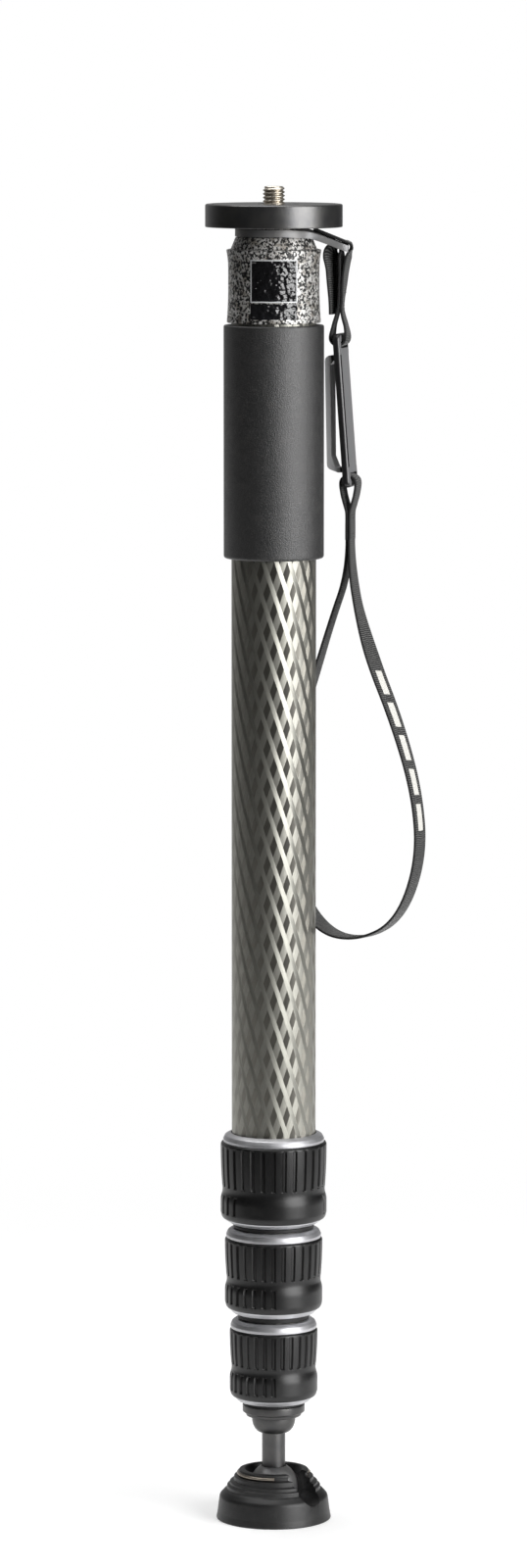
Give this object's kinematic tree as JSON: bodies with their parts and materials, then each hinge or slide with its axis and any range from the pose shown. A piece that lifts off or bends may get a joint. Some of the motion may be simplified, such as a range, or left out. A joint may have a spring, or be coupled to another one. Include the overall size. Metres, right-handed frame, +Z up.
{
  "type": "camera monopod",
  "caption": "Telescoping camera monopod with twist-lock sections, round camera platform with threaded stud, foam grip, clip-on wrist strap and ball-jointed rubber foot.",
  "frame": {"origin": "centre of the flat base of the rubber foot", "axes": "+Z up along the tubes to the camera stud; -Y is the front with the label; the strap hangs at +X"},
  "size_m": [0.0974, 0.077, 0.5894],
  "materials": {
    "stud_steel": "turned",
    "black_metal": "satin black",
    "dark_steel": "blackened satin",
    "hammered_paint": "hammered black and silver",
    "label_gloss": "gloss",
    "grip_foam": "fine grained foam rubber",
    "grey_metal": "satin",
    "webbing": "ribbed woven webbing",
    "clip_plastic": "moulded",
    "carbon_tube": "lacquered carbon braid",
    "bare_aluminium": "machined",
    "satin_aluminium": "satin",
    "lock_rubber": "matte",
    "seal_rubber": "matte",
    "bush_plastic": "matte",
    "foot_rubber": "matte",
    "spring_wire": "bright"
  },
  "bodies": {
    "handle": {"camera_stud": "stud_steel", "top_disc": "black_metal", "platform_screws": "dark_steel", "collar_casting": "hammered_paint", "label_panel": "label_gloss", "grip_sleeve": "grip_foam", "tube_1": "carbon_tube", "ferrule_1": "bare_aluminium", "collet_1": "bush_plastic"},
    "strap_ring": {"strap_ring": "grey_metal"},
    "tether": {"tether_strap": "webbing"},
    "belt_clip": {"belt_clip": "clip_plastic"},
    "wrist_strap": {"wrist_strap_neck": "webbing", "wrist_strap_loop": "webbing"},
    "lock_1": {"lock_1_collar": "satin_aluminium", "lock_1_grip": "lock_rubber", "lock_1_seal": "seal_rubber"},
    "lock_2": {"lock_2_collar": "satin_aluminium", "lock_2_grip": "lock_rubber", "lock_2_seal": "seal_rubber"},
    "lock_3": {"lock_3_collar": "satin_aluminium", "lock_3_grip": "lock_rubber", "lock_3_seal": "seal_rubber"},
    "section_2": {"tube_2": "carbon_tube", "guide_bush_2": "bush_plastic", "ferrule_2": "bare_aluminium", "bumper_2": "seal_rubber", "collet_2": "bush_plastic"},
    "section_3": {"tube_3": "carbon_tube", "guide_bush_3": "bush_plastic", "ferrule_3": "bare_aluminium", "bumper_3": "seal_rubber", "collet_3": "bush_plastic"},
    "section_4": {"tube_4": "carbon_tube", "guide_bush_4": "bush_plastic", "bumper_4": "seal_rubber", "bottom_plug": "bare_aluminium", "foot_flange": "black_metal", "foot_dome_nut": "black_metal", "foot_rod": "dark_steel", "ball_screw": "dark_steel"},
    "ball": {"foot_ball": "dark_steel"},
    "foot": {"foot_rubber": "foot_rubber", "socket_cup": "bush_plastic", "foot_wire_ring": "spring_wire"}
  },
  "joints": [
    {"name": "strap_ring_swivel", "type": "hinge", "parent": "handle", "child": "strap_ring", "pos_m": [0, 0, 0.5675], "axis": [0, 0, 1], "continuous": true},
    {"name": "tether_swing", "type": "hinge", "parent": "strap_ring", "child": "tether", "pos_m": [0.03142, 0, 0.56322], "axis": [0, -1, 0], "range_deg": [0, 95]},
    {"name": "clip_swing", "type": "hinge", "parent": "tether", "child": "belt_clip", "pos_m": [0.0288, 0, 0.524], "axis": [-0.2588, -0.9659, 0], "range_deg": [0, 35]},
    {"name": "wrist_strap_swing", "type": "hinge", "parent": "belt_clip", "child": "wrist_strap", "pos_m": [0.03341, -0.00123, 0.46058], "axis": [-0.2588, -0.9659, 0], "range_deg": [0, 50]},
    {"name": "lock_1_twist", "type": "hinge", "parent": "handle", "child": "lock_1", "pos_m": [0, 0, 0.1331], "axis": [0, 0, 1], "range_deg": [0, 90]},
    {"name": "lock_2_twist", "type": "hinge", "parent": "section_2", "child": "lock_2", "pos_m": [0, 0, 0.0929], "axis": [0, 0, 1], "range_deg": [0, 90]},
    {"name": "lock_3_twist", "type": "hinge", "parent": "section_3", "child": "lock_3", "pos_m": [0, 0, 0.0531], "axis": [0, 0, 1], "range_deg": [0, 90]},
    {"name": "section_2_slide", "type": "slide", "parent": "handle", "child": "section_2", "axis": [0, 0, -1], "range_m": [0, 0.36]},
    {"name": "section_3_slide", "type": "slide", "parent": "section_2", "child": "section_3", "axis": [0, 0, -1], "range_m": [0, 0.36]},
    {"name": "section_4_slide", "type": "slide", "parent": "section_3", "child": "section_4", "axis": [0, 0, -1], "range_m": [0, 0.36]},
    {"name": "foot_spin", "type": "hinge", "parent": "section_4", "child": "ball", "pos_m": [0, 0, 0.0139], "axis": [0, 0, 1], "continuous": true},
    {"name": "foot_tilt", "type": "hinge", "parent": "ball", "child": "foot", "pos_m": [0, 0, 0.0139], "axis": [-0.6691, -0.7431, 0], "range_deg": [-12, 88]}
  ]
}
